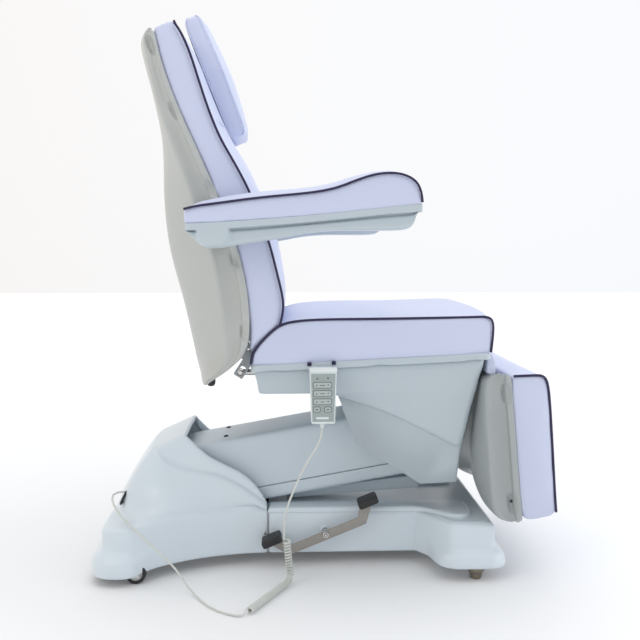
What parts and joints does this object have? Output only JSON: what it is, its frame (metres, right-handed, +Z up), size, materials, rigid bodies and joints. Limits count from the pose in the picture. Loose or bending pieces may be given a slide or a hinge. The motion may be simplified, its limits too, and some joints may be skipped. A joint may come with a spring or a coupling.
{
  "type": "facial bed",
  "caption": "Electric treatment bed with a lift arm on an I-shaped base, reclining back, hanging leg rest, swing-up armrests, head pillow and a wired handset on a curled cord.",
  "frame": {"origin": "on the floor, below the middle of the overall box", "axes": "+X towards the foot end, +Y away from the side that the picture shows, +Z up"},
  "size_m": [1.132, 0.8858, 1.4002],
  "materials": {
    "white_shell": "glossy white moulded plastic",
    "upholstery": "white coated upholstery fabric over foam",
    "arm_skin": "satin white plastic cover",
    "frame_steel": "black powder-coated steel",
    "bright_steel": "turned steel",
    "pedal_steel": "grey painted flat bar",
    "black_rubber": "black rubber",
    "grey_plastic": "light grey plastic",
    "pale_key": "pale grey key cap",
    "dark_plastic": "dark grey plastic",
    "cord_jacket": "light grey flexible jacket"
  },
  "bodies": {
    "base": {"rear_base_cover": "white_shell", "front_base_cover": "white_shell", "cord_gland": "dark_plastic", "base_frame": "frame_steel", "pivot_tower": "frame_steel", "castor_forks": "bright_steel", "levelling_feet": "bright_steel", "lift_actuator": "dark_plastic", "control_box": "dark_plastic"},
    "rear_wheel_near": {"rear_hub_near": "grey_plastic", "rear_tyre_near": "black_rubber"},
    "rear_wheel_far": {"rear_hub_far": "grey_plastic", "rear_tyre_far": "black_rubber"},
    "lift_rod": {"lift_rod": "bright_steel"},
    "pedal": {"pedal_bar": "pedal_steel", "pedal_pads": "black_rubber", "pedal_shaft": "bright_steel"},
    "transport_carriage": {"transport_carriage": "frame_steel"},
    "transport_wheels": {"transport_wheels": "grey_plastic"},
    "lift_arm": {"arm_frame": "frame_steel", "arm_shafts": "bright_steel", "lift_lever": "frame_steel", "arm_upper_cover": "arm_skin", "arm_cover_screws": "bright_steel", "arm_lower_cover": "arm_skin"},
    "level_link": {"level_link": "frame_steel"},
    "seat": {"seat_cushion": "upholstery", "seat_shell": "white_shell", "seat_frame": "frame_steel", "back_actuator": "dark_plastic", "leg_actuator": "dark_plastic", "handset_case": "white_shell", "handset_panel": "grey_plastic"},
    "back_rod": {"back_rod": "bright_steel"},
    "leg_rod": {"leg_rod": "bright_steel"},
    "backrest": {"back_cushion": "upholstery", "back_shell": "white_shell", "back_frame": "frame_steel", "armrest_pins": "bright_steel"},
    "headrest": {"headrest_pillow": "upholstery", "headrest_pegs": "bright_steel"},
    "armrest_near": {"armrest_shell_near": "white_shell", "armrest_pad_near": "upholstery"},
    "armrest_far": {"armrest_shell_far": "white_shell", "armrest_pad_far": "upholstery"},
    "leg_rest": {"leg_cushion": "upholstery", "leg_shell": "white_shell", "leg_frame": "frame_steel"},
    "key_back": {"key_back": "pale_key"},
    "key_leg": {"key_leg": "pale_key"},
    "key_height": {"key_height": "pale_key"},
    "key_sit": {"key_sit": "pale_key"},
    "key_lie": {"key_lie": "pale_key"},
    "cord": {"cord_lead": "cord_jacket", "cord_curl": "cord_jacket", "cord_tail": "cord_jacket"}
  },
  "joints": [
    {"name": "rear_wheel_near_spin", "type": "hinge", "parent": "base", "child": "rear_wheel_near", "pos_m": [-0.46, -0.26, 0.025], "axis": [0, 1, 0], "continuous": true},
    {"name": "rear_wheel_far_spin", "type": "hinge", "parent": "base", "child": "rear_wheel_far", "pos_m": [-0.46, 0.26, 0.025], "axis": [0, 1, 0], "continuous": true},
    {"name": "pedal_rock", "type": "hinge", "parent": "base", "child": "pedal", "pos_m": [0.0075, -0.178, 0.09], "axis": [0, -1, 0], "range_deg": [-40, 0]},
    {"name": "carriage_swing", "type": "hinge", "parent": "base", "child": "transport_carriage", "pos_m": [0.26, 0, 0.062], "axis": [0, -1, 0], "range_deg": [-8.54, 0]},
    {"name": "transport_wheels_spin", "type": "hinge", "parent": "transport_carriage", "child": "transport_wheels", "pos_m": [0.332, 0, 0.0344], "axis": [0, 1, 0], "continuous": true},
    {"name": "lift", "type": "hinge", "parent": "base", "child": "lift_arm", "pos_m": [-0.3, 0, 0.218], "axis": [0, -1, 0], "range_deg": [0, 36], "deforming": ["cord_lead", "cord_curl", "cord_tail"]},
    {"name": "link_swing", "type": "hinge", "parent": "base", "child": "level_link", "pos_m": [-0.3, 0, 0.268], "axis": [0, -1, 0], "range_deg": [0, 36]},
    {"name": "seat_level", "type": "hinge", "parent": "lift_arm", "child": "seat", "pos_m": [0.25, 0, 0.315], "axis": [0, -1, 0], "range_deg": [-36, 0]},
    {"name": "lift_rod_slide", "type": "slide", "parent": "base", "child": "lift_rod", "axis": [1, 0, 0], "range_m": [0, 0.06953]},
    {"name": "back_recline", "type": "hinge", "parent": "seat", "child": "backrest", "pos_m": [-0.174, 0, 0.548], "axis": [0, -1, 0], "range_deg": [0, 66]},
    {"name": "back_rod_slide", "type": "slide", "parent": "seat", "child": "back_rod", "axis": [1, 0, 0], "range_m": [0, 0.07533]},
    {"name": "leg_raise", "type": "hinge", "parent": "seat", "child": "leg_rest", "pos_m": [0.41, 0, 0.52], "axis": [0, -1, 0], "range_deg": [0, 83]},
    {"name": "leg_rod_slide", "type": "slide", "parent": "seat", "child": "leg_rod", "axis": [1, 0, 0], "range_m": [0, 0.07078]},
    {"name": "armrest_near_swing", "type": "hinge", "parent": "backrest", "child": "armrest_near", "pos_m": [-0.255, -0.354, 0.85], "axis": [0, -1, 0], "range_deg": [0, 105]},
    {"name": "armrest_far_swing", "type": "hinge", "parent": "backrest", "child": "armrest_far", "pos_m": [-0.255, 0.354, 0.85], "axis": [0, -1, 0], "range_deg": [0, 105]},
    {"name": "headrest_pull", "type": "slide", "parent": "backrest", "child": "headrest", "axis": [0.9294, 0, 0.3692], "range_m": [0, 0.12]},
    {"name": "key_back_rock", "type": "hinge", "parent": "seat", "child": "key_back", "pos_m": [-0.0075, -0.3286, 0.496], "axis": [0, 0, 1], "range_deg": [-4, 4], "stiffness_Nm_per_rad": 0.4},
    {"name": "key_leg_rock", "type": "hinge", "parent": "seat", "child": "key_leg", "pos_m": [-0.0075, -0.3286, 0.4765], "axis": [0, 0, 1], "range_deg": [-4, 4], "stiffness_Nm_per_rad": 0.4},
    {"name": "key_height_rock", "type": "hinge", "parent": "seat", "child": "key_height", "pos_m": [-0.0075, -0.3286, 0.457], "axis": [0, 0, 1], "range_deg": [-4, 4], "stiffness_Nm_per_rad": 0.4},
    {"name": "key_sit_press", "type": "slide", "parent": "seat", "child": "key_sit", "axis": [0, 1, 0], "range_m": [0, 0.0012], "stiffness_N_per_m": 900},
    {"name": "key_lie_press", "type": "slide", "parent": "seat", "child": "key_lie", "axis": [0, 1, 0], "range_m": [0, 0.0012], "stiffness_N_per_m": 900},
    {"name": "cord_stretch", "type": "slide", "parent": "seat", "child": "cord", "axis": [0.4695, 0, -0.8829], "range_m": [0, 0.34516]}
  ],
  "couplings": [
    {"joint": "carriage_swing", "follows": "pedal_rock", "ratio": 0.2135},
    {"joint": "link_swing", "follows": "lift", "ratio": 1},
    {"joint": "seat_level", "follows": "lift", "ratio": -1},
    {"joint": "lift_rod_slide", "follows": "lift", "m_per_rad": 0.11066},
    {"joint": "back_rod_slide", "follows": "back_recline", "m_per_rad": 0.065396},
    {"joint": "leg_rod_slide", "follows": "leg_raise", "m_per_rad": 0.048859},
    {"joint": "cord_stretch", "follows": "lift", "m_per_rad": 0.54935}
  ]
}
